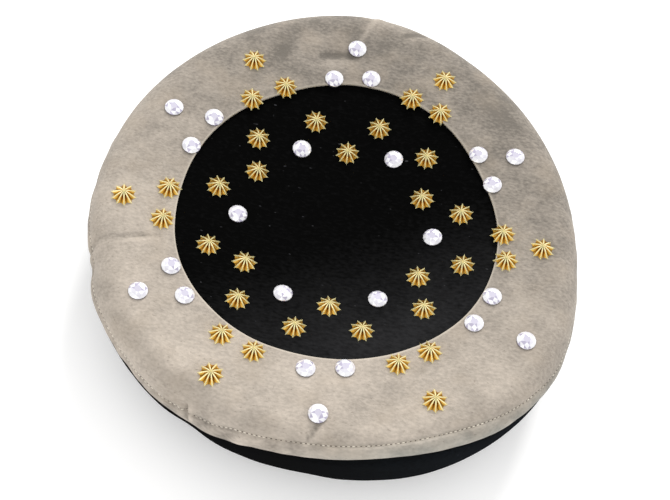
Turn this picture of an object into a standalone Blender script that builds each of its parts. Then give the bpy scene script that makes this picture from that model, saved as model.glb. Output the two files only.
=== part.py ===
"""A round two-tone suede cap of the kalpak family, resting on the hem of its head opening.

Its pieces are a dished black centre panel, a beige crown ring that rolls over the rim, a black side panel that
turns in under the rim to the head opening, ten-ridged star studs, and round faceted stones glued to the top panels.
Sizes are in metres and +Z is up. The crown's middle stands over the origin, and +Y is the far side of the cap.
"""

import math
from collections import namedtuple

import bmesh
import bpy
from mathutils import Matrix, Vector

# Suede and the gap that neighbouring pieces keep
SUEDE = 0.0016
GAP = 0.0004

# The crown, seen from above
RIM_RADIUS = 0.140
PANEL_RADIUS = 0.0885
PANEL_LAP = 0.006
OPENING_RADIUS = 0.092
HEM_WIDTH = 0.007

# The section, from the floor up
CREST_HEIGHT = 0.0635
DISH_DEPTH = 0.0118
ROLL_REACH = 0.0157
ROLL_DROP = 0.0168
BELLY_REACH = 0.018
UNDERSIDE_HEIGHT = 0.005
TUCK_DEGREES = 24
SEAM_EDGE_DEGREES = 2
SEAM_EASE_DEGREES = 16
BELLY_END_DEGREES = -78

# Star studs
STAR_RAYS = 10
STAR_RADIUS = 0.0074
STAR_HEIGHT = 0.0046
STAR_VALLEY = 0.66
STAR_SHOULDER = 0.56
STAR_RIDGE_RISE = 0.66
STAR_VALLEY_RISE = 0.40

# Round stones
STONE_SIDES = 10
STONE_RADIUS = 0.0054
STONE_TABLE_RADIUS = 0.0029
STONE_GIRDLE = 0.0008
STONE_CROWN = 0.0021
STONE_SEAT = 0.0004

# The layout of studs and stones: six spokes round middles that the maker set a little towards the near side
SPOKES = 6
PANEL_CENTRE = Vector((0.0, -0.003))
RING_CENTRE = Vector((0.0, -0.0044))
LAYOUT_TURN = 4.5
STAR_SWING = 37
STONE_SWING = 11

# How finely the panels are divided
SEGMENTS = 60
PANEL_SHARES = (0.16, 0.42, 0.65, 0.84, 1.0)
TUCK_SHARES = (1.0, 0.5, 0.0)
DISH_ROWS = 4
ROLL_ROWS = 6
BELLY_ROWS = 6

# One row for each direction round the rim: azimuth in degrees, reach as a share of RIM_RADIUS, lift of the crest as
# a share of DISH_DEPTH, the seam's place in degrees above the widest line of the rim, and where the ring's inner
# edge is cut as a share of PANEL_RADIUS
Rim = namedtuple("Rim", "azimuth reach lift seam cut")
RIM = (
    Rim(0, 0.980, 0.00, -8, 1.015),
    Rim(30, 0.965, 0.05, -8, 0.975),
    Rim(60, 0.980, 0.16, -8, 0.995),
    Rim(90, 1.015, 0.21, -8, 0.995),
    Rim(120, 0.990, 0.16, -8, 0.965),
    Rim(150, 0.980, 0.05, -8, 0.990),
    Rim(180, 0.980, 0.00, -8, 1.005),
    Rim(210, 1.010, 0.00, -8, 1.050),
    Rim(240, 1.015, 0.00, -14, 1.040),
    Rim(270, 1.018, 0.00, 14, 1.005),
    Rim(300, 1.062, 0.00, 31, 1.005),
    Rim(330, 1.060, 0.00, -4, 1.030),
)

# One row for each dent of the soft rim: azimuth, reach as a share of the rim's, half-width in degrees, half-length
# as a share of the rim's reach, and depth as a share of SUEDE
Dent = namedtuple("Dent", "azimuth reach half_width half_length depth")
DENTS = (
    Dent(100, 0.72, 7, 0.05, 0.8),
    Dent(199, 0.99, 6, 0.10, 1.2),
    Dent(245, 0.96, 5, 0.06, 1.0),
    Dent(273, 0.91, 5, 0.05, 0.8),
)

# Hand-set places, a row for each spoke. A lone piece or a motif's point has its reach as a share of the panel's
# radius, or of the ring's width beyond it, and its turn from the spoke in degrees. So has a motif's pair, with the
# degrees that each of the two is spread to its side, and the skew, by which the first is farther out and the second
# farther in.
Lone = namedtuple("Lone", "reach turn")
Motif = namedtuple("Motif", "point_reach point_turn pair_reach pair_turn spread skew")
PANEL_STONES = (
    Lone(0.61, -1.0),
    Lone(0.625, -1.5),
    Lone(0.60, -3.0),
    Lone(0.63, 0.5),
    Lone(0.605, 1.0),
    Lone(0.57, 1.0),
)
PANEL_STARS = (
    Motif(0.59, -3.5, 0.785, -1.0, 17.0, 0.013),
    Motif(0.55, -2.5, 0.770, -0.5, 15.7, 0.004),
    Motif(0.63, -1.0, 0.790, 1.5, 16.4, 0.000),
    Motif(0.65, 2.0, 0.835, 3.0, 14.5, -0.005),
    Motif(0.58, -0.5, 0.775, 0.5, 15.5, 0.014),
    Motif(0.615, 0.5, 0.810, 1.5, 14.3, -0.021),
)
RING_STARS = (
    Motif(0.505, -2.0, 0.11, -3.0, 5.0, 0.029),
    Motif(0.50, 1.5, 0.115, 1.5, 5.7, 0.008),
    Motif(0.505, 0.0, 0.075, 0.5, 6.7, 0.000),
    Motif(0.59, 0.0, 0.15, 1.0, 6.0, -0.015),
    Motif(0.57, 0.0, 0.12, 0.0, 5.9, 0.021),
    Motif(0.59, 0.0, 0.07, 1.0, 5.9, -0.006),
)
RING_STONES = (
    Motif(0.45, -1.0, 0.085, -1.5, 6.4, -0.012),
    Motif(0.53, -1.0, 0.15, -0.5, 6.4, 0.029),
    Motif(0.535, -1.5, 0.12, -0.5, 6.9, 0.012),
    Motif(0.58, -0.5, 0.16, 0.5, 5.8, -0.004),
    Motif(0.56, -0.5, 0.05, 0.5, 6.6, 0.026),
    Motif(0.68, 0.0, 0.13, 1.5, 6.0, 0.002),
)

BLACK_SUEDE = ("black_suede", (0.012, 0.012, 0.013), 0.92, 0.0)
BEIGE_SUEDE = ("beige_suede", (0.46, 0.39, 0.31), 0.92, 0.0)
GILT = ("gilt_metal", (0.83, 0.55, 0.17), 0.24, 1.0)
CRYSTAL = ("foiled_crystal", (0.88, 0.86, 0.95), 0.06, 0.4)


def around(column, azimuth):
    """The value of one column of RIM at any azimuth, on a smooth closed curve through its rows."""
    place = (azimuth % 360) / 360 * len(RIM)
    row = int(place)
    t = place - row
    before, here, after, beyond = (getattr(RIM[(row + k) % len(RIM)], column) for k in (-1, 0, 1, 2))
    slope_here = (after - before) / 2
    slope_after = (beyond - here) / 2
    return (
        here * (2 * t**3 - 3 * t**2 + 1)
        + slope_here * (t**3 - 2 * t**2 + t)
        + after * (3 * t**2 - 2 * t**3)
        + slope_after * (t**3 - t**2)
    )


def rim_reach(azimuth):
    return RIM_RADIUS * around("reach", azimuth)


def crest_reach(azimuth):
    return rim_reach(azimuth) - ROLL_REACH


def cut_reach(azimuth):
    return PANEL_RADIUS * around("cut", azimuth)


def dent_depth(azimuth, reach):
    """How far the dents push the suede in at a place on the crown."""
    share = reach / rim_reach(azimuth)
    depth = 0
    for dent in DENTS:
        across = ((azimuth - dent.azimuth + 180) % 360 - 180) / dent.half_width
        along = (share - dent.reach) / dent.half_length
        depth += SUEDE * dent.depth * math.exp(-(across**2) - along**2)
    return depth


def dish_height(azimuth, reach):
    """Height of the crown's upper surface inside the crest: a shallow bowl."""
    share = reach / crest_reach(azimuth)
    lift = around("lift", azimuth) * share**2
    return CREST_HEIGHT + DISH_DEPTH * (lift - (1 + math.cos(math.pi * share)) / 2)


def polar(azimuth, reach, height):
    turn = math.radians(azimuth)
    return Vector((reach * math.cos(turn), reach * math.sin(turn), height))


def dish_point(azimuth, reach):
    return polar(azimuth, reach, dish_height(azimuth, reach) - dent_depth(azimuth, reach))


def widest_height(azimuth):
    return CREST_HEIGHT + DISH_DEPTH * around("lift", azimuth) - ROLL_DROP


def rim_point(azimuth, degrees, inset=0):
    """A point of the rounded rim, by its angle above the rim's widest line, set in from the surface."""
    angle = math.radians(degrees)
    widest = widest_height(azimuth)
    if degrees >= 0:
        across, up = ROLL_REACH, ROLL_DROP
    else:
        across, up = BELLY_REACH, widest - UNDERSIDE_HEIGHT
    outward = Vector((math.cos(angle) / across, math.sin(angle) / up)).normalized()
    reach = rim_reach(azimuth) - across * (1 - math.cos(angle))
    inset += dent_depth(azimuth, reach)
    return polar(azimuth, reach - inset * outward.x, widest + up * math.sin(angle) - inset * outward.y)


def crown_height(x, y):
    """Height of the ring's upper surface over a place on the plan."""
    reach = math.hypot(x, y)
    azimuth = math.degrees(math.atan2(y, x))
    past_crest = (reach - crest_reach(azimuth)) / ROLL_REACH
    if past_crest > 0:
        return rim_point(azimuth, math.degrees(math.acos(min(past_crest, 0.95)))).z
    return dish_point(azimuth, reach).z


def steps(count):
    return [k / count for k in range(count + 1)]


def blend(low, high, share):
    return low + (high - low) * share


def finish(style):
    name, colour, roughness, metallic = style
    material = bpy.data.materials.get(name) or bpy.data.materials.new(name)
    material.use_nodes = True
    shader = material.node_tree.nodes["Principled BSDF"]
    shader.inputs["Base Color"].default_value = (*colour, 1)
    shader.inputs["Roughness"].default_value = roughness
    shader.inputs["Metallic"].default_value = metallic
    return material


def add_object(name, mesh, collection, style):
    made = bpy.data.objects.new(name, mesh)
    collection.objects.link(made)
    if not mesh.materials:
        mesh.materials.append(finish(style))
    return made


def loft(name, rows, closed_middle=False):
    """A skin through rows of points that run round the cap, from its middle outwards, facing out of the suede."""
    skin = bmesh.new()
    loops = [[skin.verts.new(point) for point in row] for row in rows]
    for inner, outer in zip(loops, loops[1:]):
        for k in range(SEGMENTS):
            after = (k + 1) % SEGMENTS
            skin.faces.new((inner[k], outer[k], outer[after], inner[after]))
    if closed_middle:
        skin.faces.new(loops[0])
    mesh = bpy.data.meshes.new(name)
    skin.to_mesh(mesh)
    skin.free()
    mesh.shade_smooth()
    return mesh


def round_the_cap(point_at):
    return [point_at(360 * k / SEGMENTS) for k in range(SEGMENTS)]


def suede_shell(name, rows, style, collection, closed_middle=False):
    shell = add_object(name, loft(name, rows, closed_middle), collection, style)
    thickness = shell.modifiers.new("suede", "SOLIDIFY")
    thickness.thickness = SUEDE
    thickness.offset = -1
    thickness.use_even_offset = True
    return shell


def build_centre_panel(collection):
    """The black disc, lying under the ring's inner edge all round."""
    drop = Vector((0, 0, SUEDE + GAP))
    rows = [
        round_the_cap(
            lambda azimuth, share=share: dish_point(azimuth, (cut_reach(azimuth) + PANEL_LAP) * share) - drop
        )
        for share in PANEL_SHARES
    ]
    return suede_shell("centre_panel", rows, BLACK_SUEDE, collection, closed_middle=True)


def build_crown_ring(collection):
    """The beige ring: up the dish to the crest, over the rim and down to the seam."""
    rows = [
        round_the_cap(
            lambda azimuth, share=share: dish_point(
                azimuth, blend(cut_reach(azimuth), crest_reach(azimuth), share)
            )
        )
        for share in steps(DISH_ROWS)
    ]
    rows += [
        round_the_cap(
            lambda azimuth, share=share: rim_point(azimuth, blend(90, around("seam", azimuth), share))
        )
        for share in steps(ROLL_ROWS)[1:]
    ]
    return suede_shell("crown_ring", rows, BEIGE_SUEDE, collection)


def seam_inset(below_seam):
    """The side starts behind the ring's edge and eases out to the full reach below it."""
    share = min(max(below_seam / SEAM_EASE_DEGREES, 0), 1)
    return (SUEDE + GAP) * (1 - share * share * (3 - 2 * share))


def side_point(azimuth, degrees):
    return rim_point(azimuth, degrees, seam_inset(around("seam", azimuth) - SEAM_EDGE_DEGREES - degrees))


def build_side_panel(collection):
    """The black side: tucked up behind the ring, round the belly, and in under the cap to a flat hem."""
    rows = [
        round_the_cap(
            lambda azimuth, share=share: side_point(azimuth, around("seam", azimuth) + TUCK_DEGREES * share)
        )
        for share in TUCK_SHARES
    ]
    rows += [
        round_the_cap(
            lambda azimuth, share=share: side_point(
                azimuth, blend(around("seam", azimuth), BELLY_END_DEGREES, share)
            )
        )
        for share in steps(BELLY_ROWS)[1:]
    ]
    hem_outer = OPENING_RADIUS + HEM_WIDTH
    middle = round_the_cap(
        lambda azimuth: (side_point(azimuth, BELLY_END_DEGREES) + polar(azimuth, hem_outer, 0)) / 2
    )
    rows += [
        middle,
        round_the_cap(lambda azimuth: polar(azimuth, hem_outer, 0)),
        round_the_cap(lambda azimuth: polar(azimuth, OPENING_RADIUS, 0)),
    ]
    return suede_shell("side_panel", rows, BLACK_SUEDE, collection)


def star_mesh():
    """A ridged dome, raised in two steps from a star-shaped base to its point."""
    star = bmesh.new()
    bmesh.ops.create_circle(star, cap_ends=True, segments=2 * STAR_RAYS, radius=STAR_RADIUS)
    star.verts.ensure_lookup_table()
    for k in range(1, 2 * STAR_RAYS, 2):
        star.verts[k].co *= STAR_VALLEY
    raised = bmesh.ops.extrude_face_region(star, geom=list(star.faces))["geom"]
    top = next(item for item in raised if isinstance(item, bmesh.types.BMFace))
    for vert in top.verts:
        reach = vert.co.length
        on_ridge = reach > STAR_RADIUS * (1 + STAR_VALLEY) / 2
        vert.co *= STAR_SHOULDER
        vert.co.z = STAR_HEIGHT * (STAR_RIDGE_RISE if on_ridge else STAR_VALLEY_RISE)
    peak = bmesh.ops.poke(star, faces=[top])["verts"][0]
    peak.co = (0, 0, STAR_HEIGHT)
    bmesh.ops.recalc_face_normals(star, faces=list(star.faces))
    mesh = bpy.data.meshes.new("star_stud")
    star.to_mesh(mesh)
    star.free()
    return mesh


def stone_mesh():
    """One round stone: a straight girdle, sunk a little into its glue, and a ring of facets up to the table."""
    stone = bmesh.new()
    bmesh.ops.create_cone(
        stone,
        cap_ends=True,
        segments=STONE_SIDES,
        radius1=STONE_RADIUS,
        radius2=STONE_TABLE_RADIUS,
        depth=STONE_CROWN,
        matrix=Matrix.Translation((0, 0, STONE_GIRDLE + STONE_CROWN / 2)),
    )
    foot = min(stone.faces, key=lambda face: face.calc_center_median().z)
    lowered = bmesh.ops.extrude_face_region(stone, geom=[foot])["geom"]
    verts = [item for item in lowered if isinstance(item, bmesh.types.BMVert)]
    bmesh.ops.translate(stone, verts=verts, vec=(0, 0, -STONE_GIRDLE - STONE_SEAT))
    bmesh.ops.delete(stone, geom=[foot], context="FACES_ONLY")
    bmesh.ops.recalc_face_normals(stone, faces=list(stone.faces))
    mesh = bpy.data.meshes.new("round_stone")
    stone.to_mesh(mesh)
    stone.free()
    return mesh


def seat_at(place, drop=0.0, lift=0.0, swing=0.0):
    """The frame of a piece that stands on the crown: its Z is the surface's normal there."""
    step = RIM_RADIUS / 500
    x, y = place
    height = crown_height(x, y)
    slope_x = (crown_height(x + step, y) - crown_height(x - step, y)) / (2 * step)
    slope_y = (crown_height(x, y + step) - crown_height(x, y - step)) / (2 * step)
    normal = Vector((-slope_x, -slope_y, 1)).normalized()
    turn = normal.to_track_quat("Z", "Y").to_matrix().to_4x4() @ Matrix.Rotation(math.radians(swing), 4, "Z")
    return Matrix.Translation(Vector((x, y, height - drop)) + normal * lift) @ turn


def on_plan(centre, reach, azimuth):
    turn = math.radians(azimuth)
    return centre + Vector((reach * math.cos(turn), reach * math.sin(turn)))


def panel_place(share, azimuth):
    return on_plan(PANEL_CENTRE, PANEL_RADIUS * share, azimuth)


def ring_place(share, azimuth):
    return on_plan(RING_CENTRE, blend(PANEL_RADIUS, RIM_RADIUS, share), azimuth)


def spoke_turn(spoke, offset):
    return LAYOUT_TURN + 360 * spoke / SPOKES + offset


def lone_places(rows, offset, place_of):
    return [place_of(row.reach, spoke_turn(k, offset) + row.turn) for k, row in enumerate(rows)]


def motif_places(rows, offset, place_of):
    """For each spoke the motif's point, then the two of its pair."""
    places = []
    for k, row in enumerate(rows):
        spoke = spoke_turn(k, offset)
        pair = spoke + row.pair_turn
        places.append(place_of(row.point_reach, spoke + row.point_turn))
        places.append(place_of(row.pair_reach + row.skew, pair - row.spread))
        places.append(place_of(row.pair_reach - row.skew, pair + row.spread))
    return places


def build_stars(zone, places, drop, mesh, collection):
    """Each star is a stud of its own, turned as it fell in the hand."""
    for k, place in enumerate(places):
        spoke, member = divmod(k, 3)
        star = add_object(f"{zone}_star_{spoke + 1}{'abc'[member]}", mesh, collection, GILT)
        star.matrix_world = seat_at(place, drop=drop, lift=GAP, swing=STAR_SWING * k)


def set_stones(name, panel, places, drop, stone, cutters):
    """Glues a field of stones to its panel, as one body with it."""
    stones = bmesh.new()
    for k, place in enumerate(places):
        placed = len(stones.verts)
        stones.from_mesh(stone)
        stones.verts.ensure_lookup_table()
        seat = seat_at(place, drop=drop, swing=STONE_SWING * k)
        bmesh.ops.transform(stones, matrix=seat, verts=stones.verts[placed:])
    mesh = bpy.data.meshes.new(name)
    stones.to_mesh(mesh)
    stones.free()
    field = add_object(name, mesh, cutters, CRYSTAL)
    field.hide_render = True
    field.display_type = "WIRE"
    join = panel.modifiers.new("stones", "BOOLEAN")
    join.operation = "UNION"
    join.solver = "EXACT"
    join.material_mode = "TRANSFER"
    join.object = field


def new_collection(name):
    made = bpy.data.collections.new(name)
    bpy.context.scene.collection.children.link(made)
    return made


def main():
    for old in list(bpy.data.objects):
        bpy.data.objects.remove(old)
    cap = new_collection("kalpak_cap")
    cutters = new_collection("stone_fields")

    panel = build_centre_panel(cap)
    ring = build_crown_ring(cap)
    build_side_panel(cap)

    between = 180 / SPOKES
    below_ring = SUEDE + GAP
    panel_stars = motif_places(PANEL_STARS, between, panel_place)
    ring_stars = motif_places(RING_STARS, 0, ring_place)
    star = star_mesh()
    build_stars("panel", panel_stars, below_ring, star, cap)
    build_stars("ring", ring_stars, 0, star, cap)

    panel_stones = lone_places(PANEL_STONES, 0, panel_place)
    ring_stones = motif_places(RING_STONES, between, ring_place)
    stone = stone_mesh()
    set_stones("panel_stones", panel, panel_stones, below_ring, stone, cutters)
    set_stones("ring_stones", ring, ring_stones, 0, stone, cutters)


main()
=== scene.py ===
# %% [markdown]
# # A round suede cap with star studs
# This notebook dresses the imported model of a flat, round cap. The model gives the sizes, the mounts and the places of
# the studs. Here each piece gets the shape and finish of the real one: napped suede with its dents and a topstitched
# hem, gilded studs with sharp ridges, and foil-backed stones.

import math
from collections import namedtuple

import bmesh
import bpy
import numpy as np
from mathutils import Matrix, Vector, noise


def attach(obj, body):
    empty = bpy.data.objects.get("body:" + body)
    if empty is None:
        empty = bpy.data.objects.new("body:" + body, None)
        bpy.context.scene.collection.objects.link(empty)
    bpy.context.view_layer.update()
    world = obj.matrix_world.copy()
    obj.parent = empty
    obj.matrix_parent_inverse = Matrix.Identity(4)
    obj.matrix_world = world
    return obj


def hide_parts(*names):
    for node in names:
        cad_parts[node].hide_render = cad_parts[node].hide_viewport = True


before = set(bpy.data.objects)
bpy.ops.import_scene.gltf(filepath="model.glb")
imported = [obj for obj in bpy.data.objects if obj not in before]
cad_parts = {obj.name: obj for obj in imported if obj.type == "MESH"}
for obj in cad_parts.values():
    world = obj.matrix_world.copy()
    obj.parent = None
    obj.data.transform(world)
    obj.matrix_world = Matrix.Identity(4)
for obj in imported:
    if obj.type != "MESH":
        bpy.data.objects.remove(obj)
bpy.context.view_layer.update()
print("CAD nodes:", len(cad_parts))

# %% [markdown]
# ## The cap's measures
# The panels are cut and sewn by hand, so the rim isn't a true circle. A short table holds how far it reaches, how
# high its crest lifts, where the seam runs and where the ring's inner edge is cut, one row for every 30 degrees,
# and a smooth closed curve joins the rows. A second table gives four broad, shallow dents. These are the sizes that
# the model was built from, so the fine panels land where its plain ones are.

# %% Measures in metres, and the table of the rim
SUEDE = 0.0016
GAP = 0.0004
RIM_RADIUS = 0.140
PANEL_RADIUS = 0.0885
PANEL_LAP = 0.006
OPENING_RADIUS = 0.092
HEM_WIDTH = 0.007
CREST_HEIGHT = 0.0635
DISH_DEPTH = 0.0118
ROLL_REACH = 0.0157
ROLL_DROP = 0.0168
BELLY_REACH = 0.018
UNDERSIDE_HEIGHT = 0.005
TUCK_DEGREES = 24
SEAM_EDGE_DEGREES = 2
SEAM_EASE_DEGREES = 16
BELLY_END_DEGREES = -78

# Azimuths are in degrees from +X towards +Y. Reach is a share of RIM_RADIUS, lift of DISH_DEPTH and cut of
# PANEL_RADIUS. Seam is in degrees above the rim's widest line.
Rim = namedtuple("Rim", "azimuth reach lift seam cut")
RIM = (
    Rim(0, 0.980, 0.00, -8, 1.015),
    Rim(30, 0.965, 0.05, -8, 0.975),
    Rim(60, 0.980, 0.16, -8, 0.995),
    Rim(90, 1.015, 0.21, -8, 0.995),
    Rim(120, 0.990, 0.16, -8, 0.965),
    Rim(150, 0.980, 0.05, -8, 0.990),
    Rim(180, 0.980, 0.00, -8, 1.005),
    Rim(210, 1.010, 0.00, -8, 1.050),
    Rim(240, 1.015, 0.00, -14, 1.040),
    Rim(270, 1.018, 0.00, 14, 1.005),
    Rim(300, 1.062, 0.00, 31, 1.005),
    Rim(330, 1.060, 0.00, -4, 1.030),
)

# A dent's azimuth and half_width are in degrees, its reach and half_length are shares of the rim's reach, and its
# depth is counted in thicknesses of the suede.
Dent = namedtuple("Dent", "azimuth reach half_width half_length depth")
DENTS = (
    Dent(100, 0.72, 7, 0.05, 0.8),
    Dent(199, 0.99, 6, 0.10, 1.2),
    Dent(245, 0.96, 5, 0.06, 1.0),
    Dent(273, 0.91, 5, 0.05, 0.8),
)
print("rows round the rim:", len(RIM))

# %% [markdown]
# ## The section of the cap
# Seen in section, the crown is a shallow dish up to a crest, then rolls over the rim, and the side goes on round the
# belly and in under the cap. Each function below takes whole arrays of azimuths, because numpy works out a panel of
# twenty thousand points as easily as one point.

# %% Functions for the section


def around(column, azimuth):
    """The value of one column of RIM at any azimuth, on a smooth closed curve through its rows."""
    values = np.array([getattr(row, column) for row in RIM], float)
    place = np.mod(azimuth, 360) / 360 * len(RIM)
    row = np.floor(place).astype(int)
    t = place - row
    before, here, after, beyond = (values[(row + k) % len(RIM)] for k in (-1, 0, 1, 2))
    return (
        here * (2 * t**3 - 3 * t**2 + 1)
        + (after - before) / 2 * (t**3 - 2 * t**2 + t)
        + after * (3 * t**2 - 2 * t**3)
        + (beyond - here) / 2 * (t**3 - t**2)
    )


def rim_reach(azimuth):
    return RIM_RADIUS * around("reach", azimuth)


def crest_reach(azimuth):
    return rim_reach(azimuth) - ROLL_REACH


def cut_reach(azimuth):
    return PANEL_RADIUS * around("cut", azimuth)


def dent_depth(azimuth, reach):
    """How far the broad dents push the suede in."""
    share = reach / rim_reach(azimuth)
    depth = 0
    for dent in DENTS:
        across = (np.mod(azimuth - dent.azimuth + 180, 360) - 180) / dent.half_width
        along = (share - dent.reach) / dent.half_length
        depth = depth + SUEDE * dent.depth * np.exp(-(across**2) - along**2)
    return depth


def polar(azimuth, reach, height):
    turn = np.radians(azimuth)
    return np.stack(np.broadcast_arrays(reach * np.cos(turn), reach * np.sin(turn), height), axis=-1)


def dish_point(azimuth, reach):
    """The crown's upper surface inside the crest."""
    share = reach / crest_reach(azimuth)
    lift = around("lift", azimuth) * share**2
    height = CREST_HEIGHT + DISH_DEPTH * (lift - (1 + np.cos(np.pi * share)) / 2)
    return polar(azimuth, reach, height - dent_depth(azimuth, reach))


def rim_point(azimuth, degrees, inset=0.0):
    """The rounded rim, by the angle above its widest line, set in from the surface."""
    angle = np.radians(degrees)
    widest = CREST_HEIGHT + DISH_DEPTH * around("lift", azimuth) - ROLL_DROP
    over = degrees >= 0
    across = np.where(over, ROLL_REACH, BELLY_REACH)
    up = np.where(over, ROLL_DROP, widest - UNDERSIDE_HEIGHT)
    out_x, out_z = np.cos(angle) / across, np.sin(angle) / up
    length = np.hypot(out_x, out_z)
    reach = rim_reach(azimuth) - across * (1 - np.cos(angle))
    inset = inset + dent_depth(azimuth, reach)
    return polar(azimuth, reach - inset * out_x / length, widest + up * np.sin(angle) - inset * out_z / length)


print("crest reaches, near and far: %.1f and %.1f mm" % (crest_reach(270) * 1000, crest_reach(90) * 1000))

# %% [markdown]
# ## Where the studs and stones are
# Each stud is a node of its own in the model, so its own mesh tells where it stands: the middle of its points lies
# on its axis, the direction in which they spread least is the axis, and its farthest point is the tip of a ray. The
# stones are fused to the panels there, so their places are worked out again from the layout, six spokes with a row
# for each.

# %% The frame of each stud


def stud_frame(node):
    """Origin under the stud's middle, Z along its axis, X towards one of its tips."""
    points = np.array([tuple(v.co) for v in node.data.vertices])
    middle = points.mean(axis=0)
    axis = np.linalg.svd(points - middle)[2][2]
    axis = axis * np.sign(axis[2])
    up = (points - middle) @ axis
    flat = points - middle - np.outer(up, axis)
    tip = flat[np.argmax(np.linalg.norm(flat, axis=1))]
    tip = tip / np.linalg.norm(tip)
    turn = np.array([tip, np.cross(axis, tip), axis]).T
    made = Matrix(turn.tolist()).to_4x4()
    made.translation = Vector((middle + axis * up.min()).tolist())
    return made


stud_frames = {
    name: stud_frame(node) for name, node in sorted(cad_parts.items()) if "_star_" in name
}
print("studs:", len(stud_frames))

# %% The layout of the stones
SPOKE_DEGREES = 60
PANEL_CENTRE = np.array((0.0, -0.003))
RING_CENTRE = np.array((0.0, -0.0044))
LAYOUT_TURN = 4.5
STONE_SWING = 11

# Reach is a share of PANEL_RADIUS on the panel and of the ring's width on the ring. Turn is how many degrees a
# stone is off its spoke. The ring's spokes lie between the panel's. Each has a point, which is one stone far out,
# and a pair nearer the middle, spread to both sides. Skew sets one of the pair farther out than the other.
Lone = namedtuple("Lone", "reach turn")
Motif = namedtuple("Motif", "point_reach point_turn pair_reach pair_turn spread skew")
PANEL_STONES = (
    Lone(0.61, -1.0),
    Lone(0.625, -1.5),
    Lone(0.60, -3.0),
    Lone(0.63, 0.5),
    Lone(0.605, 1.0),
    Lone(0.57, 1.0),
)
RING_STONES = (
    Motif(0.45, -1.0, 0.085, -1.5, 6.4, -0.012),
    Motif(0.53, -1.0, 0.15, -0.5, 6.4, 0.029),
    Motif(0.535, -1.5, 0.12, -0.5, 6.9, 0.012),
    Motif(0.58, -0.5, 0.16, 0.5, 5.8, -0.004),
    Motif(0.56, -0.5, 0.05, 0.5, 6.6, 0.026),
    Motif(0.68, 0.0, 0.13, 1.5, 6.0, 0.002),
)


def on_plan(centre, reach, azimuth):
    turn = math.radians(azimuth)
    return centre + reach * np.array((math.cos(turn), math.sin(turn)))


def on_panel(share, azimuth):
    return on_plan(PANEL_CENTRE, PANEL_RADIUS * share, azimuth)


def on_ring(share, azimuth):
    return on_plan(RING_CENTRE, PANEL_RADIUS + (RIM_RADIUS - PANEL_RADIUS) * share, azimuth)


panel_stones = [
    on_panel(row.reach, LAYOUT_TURN + SPOKE_DEGREES * k + row.turn) for k, row in enumerate(PANEL_STONES)
]
ring_stones = []
for k, row in enumerate(RING_STONES):
    spoke = LAYOUT_TURN + SPOKE_DEGREES * (k + 0.5)
    pair = spoke + row.pair_turn
    ring_stones.append(on_ring(row.point_reach, spoke + row.point_turn))
    ring_stones.append(on_ring(row.pair_reach + row.skew, pair - row.spread))
    ring_stones.append(on_ring(row.pair_reach - row.skew, pair + row.spread))
print("stones:", len(panel_stones), "on the panel,", len(ring_stones), "on the ring")

# %% [markdown]
# ## The give of the suede
# Suede over a hollow never lies true. It swells and sinks a little over a few centimetres, and it is pressed down
# where a stud or a stone is fixed. Both are heights over the plan, so the panel, the ring and what stands on them
# share them and nothing comes apart.

# %% Swells and dimples
SWELL_HEIGHT = 0.00045
SWELL_SIZE = 0.045
RUMPLE_HEIGHT = 0.00016
RUMPLE_SIZE = 0.013
DIMPLE_DEPTH = 0.00035
DIMPLE_RADIUS = 0.0095

pressed = np.array(
    [tuple(place.translation)[:2] for place in stud_frames.values()] + list(panel_stones) + list(ring_stones)
)


def clouds(points, size, seed):
    """Smooth noise from -1 to 1, with lumps about size across, for an array of points."""
    flat = points.reshape(-1, points.shape[-1]) / size
    offset = Vector((seed, -seed, seed / 2))
    values = [noise.noise(Vector(tuple(p)).to_3d() + offset) for p in flat]
    return np.array(values).reshape(points.shape[:-1])


def give(points):
    """Height of the swells and dimples at places on the plan."""
    plan = points[..., :2]
    height = SWELL_HEIGHT * clouds(plan, SWELL_SIZE, seed=7.3)
    height = height + RUMPLE_HEIGHT * clouds(plan, RUMPLE_SIZE, seed=2.1)
    for x, y in pressed:
        away = np.hypot(plan[..., 0] - x, plan[..., 1] - y)
        height = height - DIMPLE_DEPTH * np.exp(-((away / DIMPLE_RADIUS) ** 2))
    return height


print("pressed places:", len(pressed))

# %% [markdown]
# ## Building a panel
# A panel is a grid of points: rows from the middle of the cap outwards, each a closed loop. The grid becomes a
# skin, and a Solidify modifier gives it the suede's thickness on its inner side. Numbers kept on each point tell
# the material where the suede is cut and folded: edge is 1 at a cut edge, painted paler for its raw fibres and as a
# painted highlight where the edge catches the light, fold runs from -1 in a crease to 1 on a lip, and paints shade
# in the crease and light on the lip, and hem is 1 where the hem is turned under and 0 just inside the stitches.

# %% Grids, their normals and the skins made from them
SEGMENTS = 480
AZIMUTHS = np.arange(SEGMENTS) * 360 / SEGMENTS


def rows_of(point_at, shares):
    """A grid of points: one row for each share, one column for each azimuth."""
    return np.stack([point_at(AZIMUTHS, share) for share in shares])


def normals_of(points):
    """Unit normals of a grid, facing out of the suede."""
    outwards = np.gradient(points, axis=0)
    round_it = np.roll(points, -1, axis=1) - np.roll(points, 1, axis=1)
    normals = np.cross(outwards, round_it)
    return normals / np.linalg.norm(normals, axis=2, keepdims=True)


def raised(points, height):
    return points + normals_of(points) * height[..., None]


def along_rows(points):
    """Distance of each point from the outer edge, measured over the suede."""
    steps = np.linalg.norm(np.diff(points, axis=0), axis=2)
    return np.vstack([np.cumsum(steps[::-1], axis=0)[::-1], np.zeros((1, points.shape[1]))])


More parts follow.
